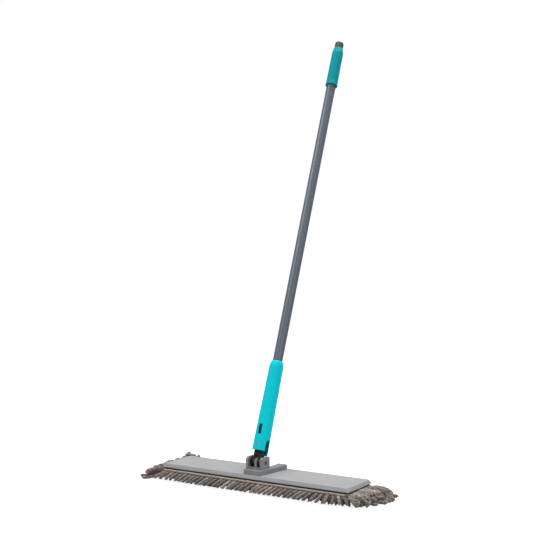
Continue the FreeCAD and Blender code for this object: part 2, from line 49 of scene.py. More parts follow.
# Stage, light and camera. Lengths are in metres, angles in degrees and powers in watts.
PAPER_WHITE = 1.0       # radiance of the backdrop where the camera sees it directly
FLOOR_LIFT = 0.86       # radiance added to the floor where the camera sees it directly
AMBIENT = 0.34          # radiance of the soft light from all round
FLOOR_HALF_SIZE = 40.0
LIGHTS = (
    # name, place, aim, size of the disc, power
    ("key_light", (-1.4, -1.8, 2.8), (0, 0, 0.3), 1.4, 26),
    ("fill_light", (2.6, -1.4, 1.4), (0, 0, 0.4), 2.0, 10),
    ("top_light", (0.1, 0.9, 3.0), (0, 0, 0), 2.0, 92),
)
CAMERA_PLACE = (1.3375, -2.0959, 0.5896)
CAMERA_AZIMUTH = 31.58
CAMERA_PITCH_DOWN = 1.6145
CAMERA_LENS_MM = 64.286
CAMERA_SENSOR_MM = 36.0
CAMERA_CLIP_END = 200.0

# The pad's places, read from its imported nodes.
binding_low, binding_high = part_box("pad_binding")
pile_low, pile_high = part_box("pile")
backing_low, backing_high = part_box("pad_backing")
tapes_low, tapes_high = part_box("loop_tapes")
side_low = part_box("fringe_front")[0]
end_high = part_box("fringe_right")[1]
half_length = binding_high.x
half_width = binding_high.y
side_reach = -side_low.y - half_width
end_reach = end_high.x - half_length
root_height = binding_low.z - 1.0 * MM
PAD_CORNER = 14 * MM

# Yarn.
STRAND_RADIUS = 4.5 * MM
STRAND_PITCH = 13.5 * MM
STRAND_TONES = [0.16, 0.24, 0.3, 0.36, 0.44]
BODY_TONE = 0.2                 # of the pad's body under its tufts
TONE_SPREAD = 0.04              # how far a strand's tone may be from the listed one
LOWEST_POINT = 0.2 * MM         # no strand goes below this
TURN_LENGTH = 6.5               # of the twist, in strand radii
RING_SPACING = 1.1              # along a strand, in strand radii
PLY_VALLEY = 0.78               # distance from the middle to the groove between two plies, in strand radii
PLY_RISE = 0.30                 # from that groove to the top of a ply
FIBRES_ROUND = 9                # scale of the fibres' noise round a strand
FIBRES_ALONG = 260              # and along it, for each metre
FIBRE_SHIFT = 50                # moves the noise from strand to strand, by its tone
BODY_FIBRES = 900               # scale of the noise on plain faces, for each metre
LAYER_LIFT = 1.7                # how much higher a layer of strands lies than the one below, in strand radii
ROOT_INSET = 2 * MM             # from the binding's edge in to the strands' roots
ROOT_DEPTH = 7 * MM             # how far a strand starts behind its root
DROP_REACH = 26 * MM            # how far out a strand comes before it lies on the floor

# Side fringes.
SIDE_END_GAP = 10 * MM          # from the binding's end to the last strand
SIDE_FAN_ZONE = 90 * MM         # length at each end where the strands turn towards the end fringe
SIDE_FAN = math.radians(68)
SIDE_SLANT = 20 * MM            # how far a strand's tip lies sideways of its root
SIDE_GROWTH = 0.9               # how much longer the strands get by the corner, as a share
SHORT_CORNER_GROWTH = 0.15      # the same at the front corner of the right end

# End fringes.
END_STRANDS = 13                # in the lowest layer, and one fewer in each layer above
END_FAN = math.radians(24)
END_MARGIN = 6 * MM             # between the longest strand and the fringe's limit
SIDE_MARGIN = 4 * MM            # between the outermost strand and the side fringe's limit
SHORTEST_END_STRAND = 30 * MM
SWEPT_FAN = math.radians(20)    # sweep to the back at the front corner of the right end
SWEPT_SHORTER = 0.5             # share of a strand's length that is lost there
SWEPT_CURL_SHORTER = 0.45       # share of a curl's length that is lost there
CURLS = 16
EDGE_RUNS = 2
KNOB_PITCH = 26 * MM
KNOB_PLACES = (-0.15, 0.25, 0.6, 1.0, 1.7)      # from the back left corner inwards, in knob pitches


# ---------------------------------------------------------------- colour and node helpers
def linear(red, green, blue):
    """A colour given as 0 to 255 screen values, as the linear values that shaders take."""
    def one(value):
        value /= 255
        return value / 12.92 if value <= 0.04045 else ((value + 0.055) / 1.055) ** 2.4
    return (one(red), one(green), one(blue), 1.0)


def shade(colour, factor):
    return tuple(min(1.0, channel * factor) for channel in colour[:3]) + (1.0,)


def start_material(name, roughness):
    material = bpy.data.materials.new(name)
    material.use_nodes = True
    shader = material.node_tree.nodes["Principled BSDF"]
    shader.inputs["Roughness"].default_value = roughness
    return material, material.node_tree, shader


def coordinates(tree, stretch=(1, 1, 1)):
    source = tree.nodes.new("ShaderNodeTexCoord")
    mapping = tree.nodes.new("ShaderNodeMapping")
    mapping.inputs["Scale"].default_value = stretch
    tree.links.new(source.outputs["Object"], mapping.inputs["Vector"])
    return mapping.outputs["Vector"]


def attribute(tree, name, output):
    """A value that the mesh carries at its points."""
    node = tree.nodes.new("ShaderNodeAttribute")
    node.attribute_name = name
    return node.outputs[output]


def noise(tree, vector, scale, detail=3.0, roughness=0.55):
    node = tree.nodes.new("ShaderNodeTexNoise")
    node.inputs["Scale"].default_value = scale
    node.inputs["Detail"].default_value = detail
    node.inputs["Roughness"].default_value = roughness
    tree.links.new(vector, node.inputs["Vector"])
    return node.outputs["Fac"]


def calculate(tree, operation, *values):
    """A maths node. Each value is a number or the output of another node."""
    node = tree.nodes.new("ShaderNodeMath")
    node.operation = operation
    for place, value in enumerate(values):
        if isinstance(value, (int, float)):
            node.inputs[place].default_value = value
        else:
            tree.links.new(value, node.inputs[place])
    return node.outputs["Value"]


def ramp(tree, value, stops):
    node = tree.nodes.new("ShaderNodeValToRGB")
    while len(node.color_ramp.elements) < len(stops):
        node.color_ramp.elements.new(0.5)
    for element, (place, colour) in zip(node.color_ramp.elements, stops):
        element.position = place
        element.color = colour
    tree.links.new(value, node.inputs["Fac"])
    return node.outputs["Color"]


def remap(tree, value, low, high):
    """Spreads the middle of a noise's range over low to high."""
    node = tree.nodes.new("ShaderNodeMapRange")
    node.inputs["From Min"].default_value = 0.3
    node.inputs["From Max"].default_value = 0.7
    node.inputs["To Min"].default_value = low
    node.inputs["To Max"].default_value = high
    tree.links.new(value, node.inputs["Value"])
    return node.outputs["Result"]


def bump(tree, shader, height, distance, strength=1.0, under=None):
    node = tree.nodes.new("ShaderNodeBump")
    node.inputs["Distance"].default_value = distance
    node.inputs["Strength"].default_value = strength
    tree.links.new(height, node.inputs["Height"])
    if under is not None:
        tree.links.new(under, node.inputs["Normal"])
    tree.links.new(node.outputs["Normal"], shader.inputs["Normal"])
    return node.outputs["Normal"]


# ---------------------------------------------------------------- materials
def moulded_plastic(name, colour, roughness, grain=0.05 * MM, variation=0.12, specular=0.4):
    """Moulded plastic: fine spark-eroded grain, slow flow marks and faint rubbed patches."""
    material, tree, shader = start_material(name, roughness)
    vector = coordinates(tree)
    flow = noise(tree, vector, 22, 4)
    darker = shade(colour, 1 - variation)
    lighter = shade(colour, 1 + variation)
    tint = ramp(tree, flow, [(0.25, darker), (0.5, colour), (0.8, lighter)])
    tree.links.new(tint, shader.inputs["Base Color"])
    rubbed = noise(tree, vector, 90, 5, 0.7)
    tree.links.new(remap(tree, rubbed, roughness - 0.07, roughness + 0.09), shader.inputs["Roughness"])
    fine = noise(tree, vector, 1500, 2)
    low = bump(tree, shader, fine, grain)
    bump(tree, shader, flow, 0.25 * MM, 0.35, low)
    shader.inputs["Specular IOR Level"].default_value = specular
    return material


def painted_tube(name, colour):
    """Grey painted aluminium: a faint drawn grain along the tube and small scuffs."""
    material, tree, shader = start_material(name, 0.34)
    shader.inputs["Metallic"].default_value = 0.25
    grain = noise(tree, coordinates(tree, (700, 220, 8)), 1.0, 3)
    scuffs = noise(tree, coordinates(tree, (60, 60, 14)), 1.0, 6, 0.75)
    tint = ramp(tree, grain, [(0.3, shade(colour, 0.9)), (0.7, shade(colour, 1.08))])
    tree.links.new(tint, shader.inputs["Base Color"])
    tree.links.new(remap(tree, scuffs, 0.3, 0.46), shader.inputs["Roughness"])
    low = bump(tree, shader, grain, 0.02 * MM)
    bump(tree, shader, noise(tree, coordinates(tree), 900, 2), 0.02 * MM, 0.7, low)
    return material


def zinc(name):
    """Bright zinc on steel: small crystals and a slightly uneven shine."""
    material, tree, shader = start_material(name, 0.35)
    shader.inputs["Metallic"].default_value = 1.0
    crystals = noise(tree, coordinates(tree), 600, 4, 0.7)
    tint = ramp(tree, crystals, [(0.3, linear(172, 168, 164)), (0.7, linear(205, 203, 200))])
    tree.links.new(tint, shader.inputs["Base Color"])
    tree.links.new(remap(tree, crystals, 0.28, 0.45), shader.inputs["Roughness"])
    bump(tree, shader, crystals, 0.03 * MM)
    return material


def yarn(name, dark, middle, light, fibre_depth=0.25 * MM):
    """Plied cotton yarn. The mesh carries each strand's tone and a direction for its fibres."""
    material, tree, shader = start_material(name, 0.95)
    shader.inputs["Sheen Weight"].default_value = 0.25
    shader.inputs["Sheen Roughness"].default_value = 0.6
    hairs = noise(tree, attribute(tree, "fibre", "Vector"), 1.0, 4, 0.7)
    patches = noise(tree, coordinates(tree), 60, 3)
    with_hairs = calculate(tree, "MULTIPLY_ADD", hairs, 0.45, attribute(tree, "tone", "Fac"))
    with_patches = calculate(tree, "MULTIPLY_ADD", patches, 0.3, with_hairs)
    tint = ramp(tree, with_patches, [(0.35, dark), (0.75, middle), (1.1 / 1.2, light)])
    tree.links.new(tint, shader.inputs["Base Color"])
    bump(tree, shader, hairs, fibre_depth)
    return material


def woven(name, colour, thread=0.9 * MM, depth=0.2 * MM):
    """Plain weave: two sets of threads that cross, each a little uneven in colour."""
    material, tree, shader = start_material(name, 0.92)
    shader.inputs["Sheen Weight"].default_value = 0.15
    vector = coordinates(tree)
    heights = []
    for direction in ("X", "Y"):
        wave = tree.nodes.new("ShaderNodeTexWave")
        wave.bands_direction = direction
        wave.inputs["Scale"].default_value = 1 / (6.28 * thread) * 2
        wave.inputs["Distortion"].default_value = 0.8
        wave.inputs["Detail"].default_value = 1.0
        tree.links.new(vector, wave.inputs["Vector"])
        heights.append(wave.outputs["Fac"])
    weave = calculate(tree, "MULTIPLY", *heights)
    uneven = noise(tree, vector, 220, 4, 0.7)
    tint = ramp(tree, uneven, [(0.3, shade(colour, 0.78)), (0.7, shade(colour, 1.15))])
    tree.links.new(tint, shader.inputs["Base Color"])
    low = bump(tree, shader, weave, depth)
    bump(tree, shader, uneven, 0.15 * MM, 0.5, low)
    return material


def floor_finish():
    """Pale matt floor, lifted towards paper white where the camera sees it directly."""
    material, tree, shader = start_material("pale_floor", 0.75)
    seen_directly = tree.nodes.new("ShaderNodeLightPath").outputs["Is Camera Ray"]
    lift = calculate(tree, "MULTIPLY", seen_directly, FLOOR_LIFT)
    shader.inputs["Emission Color"].default_value = (1.0, 1.0, 1.0, 1.0)
    tree.links.new(lift, shader.inputs["Emission Strength"])
    patches = noise(tree, coordinates(tree), 1.5, 2)
    tint = ramp(tree, patches, [(0.3, (0.44, 0.44, 0.44, 1)), (0.7, (0.46, 0.46, 0.46, 1))])
    tree.links.new(tint, shader.inputs["Base Color"])
    shader.inputs["Specular IOR Level"].default_value = 0.15
    return material


YARN = yarn("taupe_yarn", linear(70, 57, 52), linear(146, 133, 125), linear(198, 188, 178))
# The same yarn, darker: painted shade for the pile under the pad.
YARN_PAINTED_SHADE = yarn("taupe_yarn_painted_shade", linear(60, 49, 45), linear(126, 114, 106), linear(170, 158, 148))
CORD = yarn("binding_cord", linear(122, 107, 96), linear(176, 159, 146), linear(200, 186, 173), 0.12 * MM)
THREAD = yarn("stitch_thread", linear(160, 144, 130), linear(214, 202, 190), linear(232, 224, 214), 0.05 * MM)
BACKING = woven("grey_backing", linear(150, 146, 144))
LOOP_TAPE = woven("loop_tape", linear(92, 92, 96), 0.6 * MM, 0.35 * MM)
HOOK_TAPE = moulded_plastic("hook_tape", linear(58, 58, 62), 0.6, 0.4 * MM)
PLATE = moulded_plastic("plate_grey", linear(168, 168, 169), 0.36, variation=0.06)
PAN = moulded_plastic("pan_grey", linear(140, 140, 143), 0.55, variation=0.06)
BASE = moulded_plastic("joint_grey", linear(146, 147, 149), 0.34, variation=0.08)
BLACK = moulded_plastic("black_plastic", linear(34, 34, 37), 0.36, variation=0.2)
RUBBER = moulded_plastic("washer_rubber", linear(36, 36, 37), 0.75, 0.08 * MM, 0.2)
# The sleeve and the hand grip are one teal plastic: the grip's darker teal is painted shade.
SLEEVE = moulded_plastic("bright_teal", linear(0, 230, 244), 0.42, 0.02 * MM, 0.03, 0.15)
GRIP_TEAL_PAINTED_SHADE = moulded_plastic("teal_with_painted_shade", linear(0, 160, 170), 0.5, 0.04 * MM, 0.05, 0.15)
CAP = moulded_plastic("cap_grey", linear(92, 90, 91), 0.5, 0.05 * MM, 0.1, 0.3)
TUBE = painted_tube("grey_tube", linear(116, 124, 134))
STEEL = zinc("zinc_steel")

NODE_MATERIALS = {
    "hook_tapes": HOOK_TAPE, "plate_cover": PLATE, "plate_pan": PAN, "pan_screws": STEEL, "joint_base": BASE,
    "base_screws": STEEL, "tilt_pin": STEEL, "pin_caps": BLACK, "friction_washers": RUBBER, "knuckle": BLACK,
    "swing_bush": STEEL, "lower_sleeve": SLEEVE, "swing_screw": STEEL, "swing_nut": STEEL,
    "tube_screw": STEEL, "pole_tube": TUBE, "tube_plug": BLACK, "hand_grip": GRIP_TEAL_PAINTED_SHADE, "end_cap": CAP,
    "slider_button": BLACK, "brake_tongue": BLACK,
}


def dress_nodes():
    for name, material in NODE_MATERIALS.items():
        slots = nodes[name].data.materials
        if len(slots) == 0:
            slots.append(material)
        for index in range(len(slots)):
            slots[index] = material


# ---------------------------------------------------------------- meshes
def add_piece(name, mesh, material):
    mesh.materials.append(material)
    piece = bpy.data.objects.new(name, mesh)
    bpy.context.scene.collection.objects.link(piece)
    return piece


def slab_faces(columns, rows, start=0):
    """Faces of a closed slab, whose points are a grid for its underside and then the same for its top."""
    wide = columns + 1
    layer_size = wide * (rows + 1)
    faces = []
    for row in range(rows):
        for column in range(columns):
            under = start + row * wide + column
            over = under + layer_size
            faces.append((under, under + wide, under + wide + 1, under + 1))
            faces.append((over, over + 1, over + wide + 1, over + wide))
    rim = list(range(columns))
    rim += [columns + row * wide for row in range(rows)]
    rim += [rows * wide + column for column in range(columns, 0, -1)]
    rim += [row * wide for row in range(rows, 0, -1)]
    for first, second in zip(rim, rim[1:] + rim[:1]):
        here = start + first
        beside = start + second
        faces.append((here, beside, beside + layer_size, here + layer_size))
    return faces


def eased(points, rounds=3):
    """A smooth line near the given points that keeps the first and last."""
    line = np.array(points, float)
    for _ in range(rounds):
        near = 0.75 * line[:-1] + 0.25 * line[1:]
        far = 0.25 * line[:-1] + 0.75 * line[1:]
        middle = np.stack([near, far], axis=1).reshape(-1, 3)
        line = np.vstack([line[:1], middle, line[-1:]])
    return line


def path_length(line):
    return np.linalg.norm(np.diff(line, axis=0), axis=1).sum()


def evenly(line, count):
    """The given number of points, evenly spaced along a line, and the line's length."""
    steps = np.linalg.norm(np.diff(line, axis=0), axis=1)
    lengths = np.concatenate([[0], np.cumsum(steps)])
    wanted = np.linspace(0, lengths[-1], count)
    return np.stack([np.interp(wanted, lengths, line[:, axis]) for axis in range(3)], axis=1), lengths[-1]


def rounded_outline(half_x, half_y, corner, step):
    """Points round a rectangle with round corners, about a step apart, anticlockwise from the back right."""
    places = []
    centres = [(half_x - corner, half_y - corner, 0), (-half_x + corner, half_y - corner, 90),
               (-half_x + corner, -half_y + corner, 180), (half_x - corner, -half_y + corner, 270)]
    for centre_x, centre_y, first in centres:
        for turn in range(0, 91, 15):
            angle = math.radians(first + turn)
            places.append((centre_x + corner * math.cos(angle), centre_y + corner * math.sin(angle), 0))
    line = np.array(places + places[:1])
    return evenly(line, max(24, int(path_length(line) / step)) + 1)[0][:-1]


class Strands:
    """Collects plied strands into one mesh, with the attributes that the yarn material reads."""

    def __init__(self, ring=12, plies=3):
        self.ring = ring
        self.plies = plies
        self.points = []
        self.faces = []
        self.fibres = []
        self.tones = []
        self.used = 0

    def add(self, path, radius, tone, turn_length=None, spacing=None, round_ends=(False, True), closed=False):
        """Adds one strand along a path. A closed path is used as given, and any other is eased first."""
        turn_length = turn_length or TURN_LENGTH * radius
        spacing = spacing or RING_SPACING * radius
        line = np.array(path, float) if closed else eased(path)
        count = max(5, int(path_length(line) / spacing) + 1)
        line, length = evenly(line, count)
        along = np.linspace(0, length, count)
        angle = np.linspace(0, 2 * math.pi, self.ring, endpoint=False)
        sizes = self.end_sizes(along, length, radius, round_ends)
        start = self.used
        self.keep(self.rings(line, along, angle, radius * sizes, turn_length), tone)
        self.faces.extend(self.sleeve_faces(start, count))
        self.faces.append([start + index for index in range(self.ring)][::-1])
        self.faces.append([start + (count - 1) * self.ring + index for index in range(self.ring)])
        across = np.cos(angle)[None, :] * FIBRES_ROUND * np.ones((count, 1))
        over = np.sin(angle)[None, :] * FIBRES_ROUND * np.ones((count, 1))
        forward = along[:, None] * FIBRES_ALONG * np.ones((1, self.ring)) + tone * FIBRE_SHIFT
        self.fibres.append(np.stack([across, over, forward], axis=2).reshape(-1, 3))

    def extra(self, points, faces, tone):
        """Adds plain faces, such as the body of the pad under its tufts."""
        start = self.used
        points = np.array(points, float)
        self.keep(points, tone)
        self.faces.extend([[start + index for index in face] for face in faces])
        self.fibres.append(points * BODY_FIBRES)

    def keep(self, points, tone):
        self.points.append(points)
        self.tones.append(np.full(len(points), tone))
        self.used += len(points)

    @staticmethod
    def end_sizes(along, length, radius, round_ends):
        """How thick the strand is at each ring, as a share: thin at an end that is rounded off."""
        sizes = np.ones(len(along))
        if round_ends[0]:
            sizes *= np.sqrt(np.clip(along / (1.2 * radius), 0.03, 1))
        if round_ends[1]:
            sizes *= np.sqrt(np.clip((length - along) / (1.3 * radius), 0.03, 1))
        return sizes

    def rings(self, line, along, angle, radii, turn_length):
        """Points of the rings round the line. Their lobes are the plies, and turn as they go along it."""
        ahead = np.gradient(line, axis=0)
        ahead /= np.linalg.norm(ahead, axis=1)[:, None] + 1e-12
        side = np.cross(ahead, (0, 0, 1.0))
        upright = np.linalg.norm(side, axis=1) < 0.05
        side[upright] = np.cross(ahead[upright], (0, 1.0, 0))
        side /= np.linalg.norm(side, axis=1)[:, None]
        above = np.cross(side, ahead)
        lobes = PLY_VALLEY + PLY_RISE * np.abs(np.cos(self.plies * angle / 2)) ** 0.8
        turned = angle[None, :] + (2 * math.pi * along / turn_length)[:, None]
        wide = radii[:, None] * lobes[None, :]
        points = (line[:, None, :] + (wide * np.cos(turned))[:, :, None] * side[:, None, :]
                  + (wide * np.sin(turned))[:, :, None] * above[:, None, :])
        points = points.reshape(-1, 3)
        points[:, 2] = np.maximum(points[:, 2], LOWEST_POINT)
        return points

    def sleeve_faces(self, start, count):
        here = np.arange(self.ring)[None, :]
        first = np.arange(count - 1)[:, None] * self.ring
        base = first + here
        after = first + (here + 1) % self.ring
        quads = np.stack([base, after, after + self.ring, base + self.ring], axis=2)
        return (quads.reshape(-1, 4) + start).tolist()

    def build(self, name, material):
        mesh = bpy.data.meshes.new(name)
        mesh.from_pydata(np.vstack(self.points).tolist(), [], self.faces)
        mesh.attributes.new("fibre", "FLOAT_VECTOR", "POINT").data.foreach_set(
            "vector", np.vstack(self.fibres).astype(np.float32).ravel())
        mesh.attributes.new("tone", "FLOAT", "POINT").data.foreach_set(
            "value", np.concatenate(self.tones).astype(np.float32))
        mesh.shade_smooth()
        return add_piece(name, mesh, material)


# ---------------------------------------------------------------- fringe
def strand_tone(rng):
    return rng.choice(STRAND_TONES) + rng.uniform(-TONE_SPREAD, TONE_SPREAD)


def hanging_strand(strands, rng, root, outward, reach, slant, layer, radius, darker=0.0):
    """One strand: out from under the binding, over the edge and down onto the floor or the layers there."""
    out = Vector((outward[0], outward[1], 0)).normalized()
    along = Vector((-out.y, out.x, 0))
    rest = radius * (1.0 + LAYER_LIFT * layer)
    top = root_height - radius * 0.6 * (1 - layer)
    drop = min(reach, DROP_REACH)

    def place(height, out_by, along_by):
        return Vector((root[0], root[1], height)) + out * out_by + along * along_by

    wobble = rng.uniform(-1, 1)
    places = [
        place(top, -ROOT_DEPTH, 0),
        place(top, 0, 0),
        place(top + 0.2 * radius, 0.18 * drop, 0.12 * slant),
        place(0.55 * top + 0.45 * rest, 0.62 * drop, 0.5 * slant),
    ]
    if reach > drop * 1.3:
        for share in (0.25, 0.5, 0.75, 1.0):
            sway = math.sin(share * 3.2 + wobble * 2) * 6 * MM * wobble
            falling = 0.35 * (top - rest) * max(0, 1 - 2.2 * share)
            height = rest + falling + abs(wobble) * 2 * MM * math.sin(share * 5)
            sideways = slant * (0.7 + 0.5 * share) + sway
            places.append(place(max(height, rest), drop + (reach - drop) * share, sideways))
    else:
        places.append(place(rest * 1.15, 0.86 * reach, 0.86 * slant))
        places.append(place(rest, reach, 1.02 * slant))
    # darker lowers the strand's tone: painted shade for strands that lie under others.
    strands.add([tuple(point) for point in places], radius, strand_tone(rng) - darker)


def side_fringe(name, side, seed):
    """The short fringe along one long side. Near the ends its strands fan out towards the end fringe."""
    rng = random.Random(seed)
    strands = Strands()
    span = half_length - SIDE_END_GAP
    count = int(2 * span / STRAND_PITCH)
    for layer in (0, 1):
        behind = layer == 0
        for index in range(count + 1 - layer):
            x = -span + (index + 0.5 * layer) * 2 * span / count + rng.uniform(-1.2, 1.2) * MM
            near_end = max(0.0, (abs(x) - (span - SIDE_FAN_ZONE)) / SIDE_FAN_ZONE)
            fan = SIDE_FAN * near_end ** 1.2 * math.copysign(1, x)
            outward = (math.sin(fan), side * math.cos(fan))
            growth = SHORT_CORNER_GROWTH if side < 0 and x > 0 else SIDE_GROWTH
            reach = side_reach * rng.uniform(0.9, 1.0) * (1 + growth * near_end ** 2)
            slant = -(SIDE_SLANT + rng.uniform(-3, 4) * MM) * (1 - near_end)
            root = (x, side * (half_width - ROOT_INSET))
            if behind:
                # The back layer lies under the front strands, so its tone is lowered by 0.3: painted shade.
                hanging_strand(strands, rng, root, outward, reach * 0.72, slant * 0.7, 0.0,
                               STRAND_RADIUS * 0.8, darker=0.3)
            else:
                radius = STRAND_RADIUS * rng.uniform(0.94, 1.08)
                hanging_strand(strands, rng, root, outward, reach, slant, 0.25, radius)
    piece = strands.build(name, YARN)
    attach(piece, "pad")
    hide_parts("fringe_front" if side < 0 else "fringe_back")


def front_right(side, share):
    """From 0 to 1 towards the front corner of the right end, where the fringe is swept back and short."""
    return max(0.0, -share) if side > 0 else 0.0


def end_fringe(name, side, seed):
    """The long fringe at one end: thick strands in three layers, with curls on top.

    At the left end some yarn also lies along the plate's edge and over its back corner."""
    rng = random.Random(seed)
    strands = Strands()
    for layer in (0, 1, 2):
        count = END_STRANDS - layer
        for index in range(count):
            share = -1 + 2 * (index + 0.5 * (layer % 2)) / (count - 0.5)
            share = max(-1.0, min(1.0, share + rng.uniform(-0.03, 0.03)))
            y = share * (half_width - PAD_CORNER * 0.4)
            front = front_right(side, share)
            fan = END_FAN * share * abs(share) * (1 - front) + SWEPT_FAN * front
            outward = (side * math.cos(fan), math.sin(fan))
            inset = ROOT_INSET + PAD_CORNER * max(0, abs(share) - 0.8) * 2
            wanted = (end_reach - END_MARGIN) * rng.uniform(0.78, 1.0) * (1 - 0.14 * layer)
            wanted *= 1 - SWEPT_SHORTER * front
            room = (side_reach + half_width - abs(y) - SIDE_MARGIN) / max(1e-6, abs(math.sin(fan)))
            reach = min(wanted / max(0.6, math.cos(fan)), max(room, SHORTEST_END_STRAND))
            slant = rng.uniform(-7, 7) * MM
            radius = STRAND_RADIUS * rng.uniform(0.95, 1.25)
            root = (side * (half_length - inset), y)
            hanging_strand(strands, rng, root, outward, reach, slant, layer * 0.95, radius)
    for index in range(CURLS):
        curl(strands, rng, side, -0.92 + 1.84 * index / (CURLS - 1))
    if side < 0:
        for _ in range(EDGE_RUNS):
            edge_run(strands, rng, side)
        for pitches in KNOB_PLACES:
            knob(strands, rng, pitches)
    piece = strands.build(name, YARN)
    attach(piece, "pad")
    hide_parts("fringe_left" if side < 0 else "fringe_right")


def knob(strands, rng, pitches):
    """A small tight loop that rides up over the back left corner of the plate."""
    radius = STRAND_RADIUS * rng.uniform(0.85, 1.0)
    centre = Vector((-half_length + pitches * KNOB_PITCH, half_width + rng.uniform(-1, 5) * MM,
                     binding_high.z + (15 - 6 * pitches) * MM))
    first = rng.uniform(0, 2)
    swing = 7.5 * MM
    places = []
    for step in range(7):
        angle = first + step * 0.85
        places.append((centre.x + swing * math.cos(angle),
                       centre.y + swing * math.sin(angle) * 0.8,
                       centre.z + 3 * MM * math.sin(angle * 1.3) - step * 0.6 * MM))
    strands.add(places, radius, strand_tone(rng) - 0.06, round_ends=(True, True))


def curl(strands, rng, side, share):
    """A loop of yarn that stands proud of the end fringe and falls outwards."""
    radius = STRAND_RADIUS * rng.uniform(0.85, 1.1)
    centre_y = share * half_width + rng.uniform(-5, 5) * MM
    out = rng.uniform(0.3, 0.68) * end_reach * (1 - SWEPT_CURL_SHORTER * front_right(side, share))
    width = rng.uniform(9, 16) * MM
    lean_y = rng.uniform(-14, 14) * MM + share * 8 * MM
    root_x = half_length - 3 * MM
    top = root_height + (rng.uniform(5, 13) if side < 0 else rng.uniform(1, 6)) * MM
    places = [
        (side * root_x, centre_y - width / 2, root_height),
        (side * (root_x + 7 * MM), centre_y - width / 2, top),
        (side * (root_x + 0.6 * out), centre_y - width + lean_y * 0.5, top - 3 * MM),
        (side * (root_x + out), centre_y - width * 0.4 + lean_y, top - 16 * MM),
        (side * (root_x + out * 1.05), centre_y + width * 0.4 + lean_y, top - 17 * MM),
        (side * (root_x + 0.7 * out), centre_y + width + lean_y * 0.5, top - 7 * MM),
        (side * (root_x + 8 * MM), centre_y + width / 2, top - 2 * MM),
        (side * root_x, centre_y + width / 2, root_height - 1 * MM),
    ]
    strands.add(places, radius, strand_tone(rng), round_ends=(True, True))


def edge_run(strands, rng, side):
    """A loose strand that lies along the plate's end, with small humps, on top of the binding."""
    radius = STRAND_RADIUS * rng.uniform(0.8, 0.95)
    line_x = side * (half_length + rng.uniform(0.5, 4) * MM)
    steps = 14
    places = []
    for step in range(steps + 1):
        share = step / steps
        y = -0.72 * half_width + share * 1.78 * half_width
        hump = 5 * MM * math.sin(step * 1.9 + rng.uniform(-0.6, 0.6))
        height = binding_high.z + radius * 0.6 + max(0.0, hump) + 6 * MM * share
        places.append((line_x + rng.uniform(-2, 4) * MM * side, y, height))
    strands.add(places, radius, strand_tone(rng) - 0.08, round_ends=(True, True))


# ---------------------------------------------------------------- pile, backing, binding, tape
def pile():
    """The tufted underside: a soft body with rows of short looped tufts that lie on the floor."""
    rng = random.Random(11)
    strands = Strands()
    low, high = pile_low, pile_high
    bottom = 9 * MM
    inset = 2 * MM
    columns, rows = 72, 16
    points = []
    for level in (bottom, high.z - 0.5 * MM):
        for row in range(rows + 1):
            for column in range(columns + 1):
                x = low.x + inset + (high.x - low.x - 2 * inset) * column / columns
                y = low.y + inset + (high.y - low.y - 2 * inset) * row / rows
                lift = rng.uniform(-1.6, 1.6) * MM if level == bottom else 0.0
                points.append((x, y, level + lift))
    strands.extra(points, slab_faces(columns, rows), BODY_TONE)
    pitch = 12.5 * MM
    inset = 6 * MM
    rows = int((high.y - low.y - 10 * MM) / pitch)
    columns = int((high.x - low.x - 10 * MM) / pitch)
    for row in range(rows + 1):
        for column in range(columns + 1):
            shift = 0.5 * (row % 2)
            x = low.x + inset + (high.x - low.x - 2 * inset) * (column + shift) / (columns + 0.5)
            y = low.y + inset + (high.y - low.y - 2 * inset) * row / rows
            tuft(strands, rng, x + rng.uniform(-1.5, 1.5) * MM, y + rng.uniform(-1.5, 1.5) * MM, bottom)
    # The pile takes the darker copy of the yarn, as painted shade under the pad.
    piece = strands.build("yarn_pile", YARN_PAINTED_SHADE)
    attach(piece, "pad")
    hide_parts("pile")


def tuft(strands, rng, x, y, bottom):
    """A short loop that leaves the body, lies on the floor and goes back up."""
    radius = STRAND_RADIUS * rng.uniform(0.8, 0.95)
    angle = rng.uniform(0, 2 * math.pi)
    reach = rng.uniform(7, 10) * MM
    margin = reach + 5 * MM
    x = max(pile_low.x + margin, min(pile_high.x - margin, x))
    y = max(pile_low.y + margin, min(pile_high.y - margin, y))
    root = bottom + 2 * MM
    rest = radius * 1.02
    profile = ((-1, root), (-1.1, rest * 1.4), (-0.5, rest), (0.5, rest), (1.1, rest * 1.4), (1, root))
    places = []
    for share, height in profile:
        places.append((x + share * reach * math.cos(angle), y + share * reach * math.sin(angle), height))
    strands.add(places, radius, strand_tone(rng), spacing=1.3 * radius, round_ends=(False, False))


def backing():
    """The cloth that the yarn is sewn to: one woven layer, slightly quilted by the rows of stitching."""
    low, high = backing_low, backing_high
    inset = 1.0 * MM
    long = high.x - low.x - 2 * inset
    wide = high.y - low.y - 2 * inset
    stitch_rows = 8
    columns, rows = 160, 36
    points = []
    for row in range(rows + 1):
        for column in range(columns + 1):
            x = low.x + inset + long * column / columns
            y = low.y + inset + wide * row / rows
            quilt = math.cos((y - low.y) / (high.y - low.y) * 2 * math.pi * stitch_rows)
            ripple = math.sin(x * 190 + 3 * math.sin(y * 60))
            points.append((x, y, high.z - 0.7 * MM + 0.3 * MM * quilt + 0.12 * MM * ripple))
    faces = []
    for row in range(rows):
        for column in range(columns):
            here = row * (columns + 1) + column
            beyond = here + columns + 1
            faces.append((here, here + 1, beyond + 1, beyond))
    mesh = bpy.data.meshes.new("backing_cloth")
    mesh.from_pydata(points, [], faces)
    mesh.shade_smooth()
    piece = add_piece("backing_cloth", mesh, BACKING)
    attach(piece, "pad")
    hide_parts("pad_backing")


